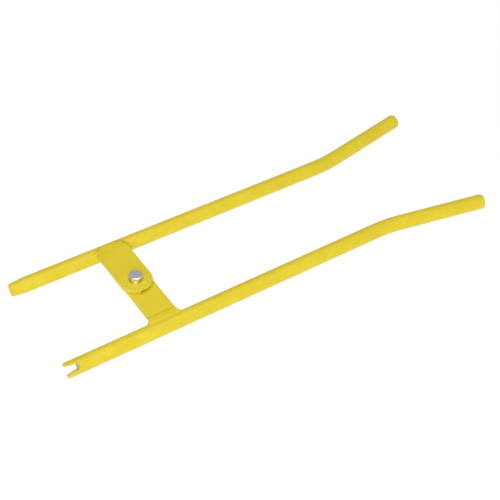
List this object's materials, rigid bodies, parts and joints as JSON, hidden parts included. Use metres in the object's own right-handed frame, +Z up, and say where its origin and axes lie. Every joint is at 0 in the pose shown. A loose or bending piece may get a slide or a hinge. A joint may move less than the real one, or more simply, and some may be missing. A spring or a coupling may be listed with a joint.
{
  "type": "aircraft tow bar",
  "caption": "Scissor-type tow bar for a light aircraft nose wheel: two bent tube arms with forked tips, hinged on one bolt through overlapping welded plates.",
  "frame": {"origin": "on the ground under the middle of the bounding box, midway between the two arms", "axes": "+X from the forked tips to the handles, +Y towards the right arm as seen from the handles, +Z up along the pivot bolt"},
  "size_m": [0.7348, 0.2642, 0.0399],
  "materials": {
    "yellow_paint": "semi-gloss yellow powder coat over steel",
    "zinc_steel": "bright zinc-plated steel",
    "yellow_zinc_steel": "zinc plating with a yellow chromate tint",
    "bronze": "plain bronze bearing metal",
    "nylon": "natural nylon"
  },
  "bodies": {
    "left_arm": {"left_arm_tube": "yellow_paint", "left_fork_tip": "yellow_paint", "left_handle_plug": "yellow_paint", "left_tip_seam_weld": "yellow_paint", "left_plug_seam_weld": "yellow_paint", "left_pivot_plate": "yellow_paint", "left_plate_top_weld": "yellow_paint", "left_plate_under_weld": "yellow_paint", "pivot_bolt": "zinc_steel", "pivot_washers": "yellow_zinc_steel", "lock_nut": "zinc_steel", "pivot_bush": "bronze", "plate_spacer": "bronze", "nut_insert": "nylon"},
    "right_arm": {"right_arm_tube": "yellow_paint", "right_fork_tip": "yellow_paint", "right_handle_plug": "yellow_paint", "right_tip_seam_weld": "yellow_paint", "right_plug_seam_weld": "yellow_paint", "right_pivot_plate": "yellow_paint", "right_plate_end_weld": "yellow_paint", "right_plate_under_weld": "yellow_paint"}
  },
  "joints": [
    {"name": "arm_pivot", "type": "hinge", "parent": "left_arm", "child": "right_arm", "pos_m": [-0.20207, 0, 0.012], "axis": [0, 0, 1], "range_deg": [-21.2, 51]}
  ]
}
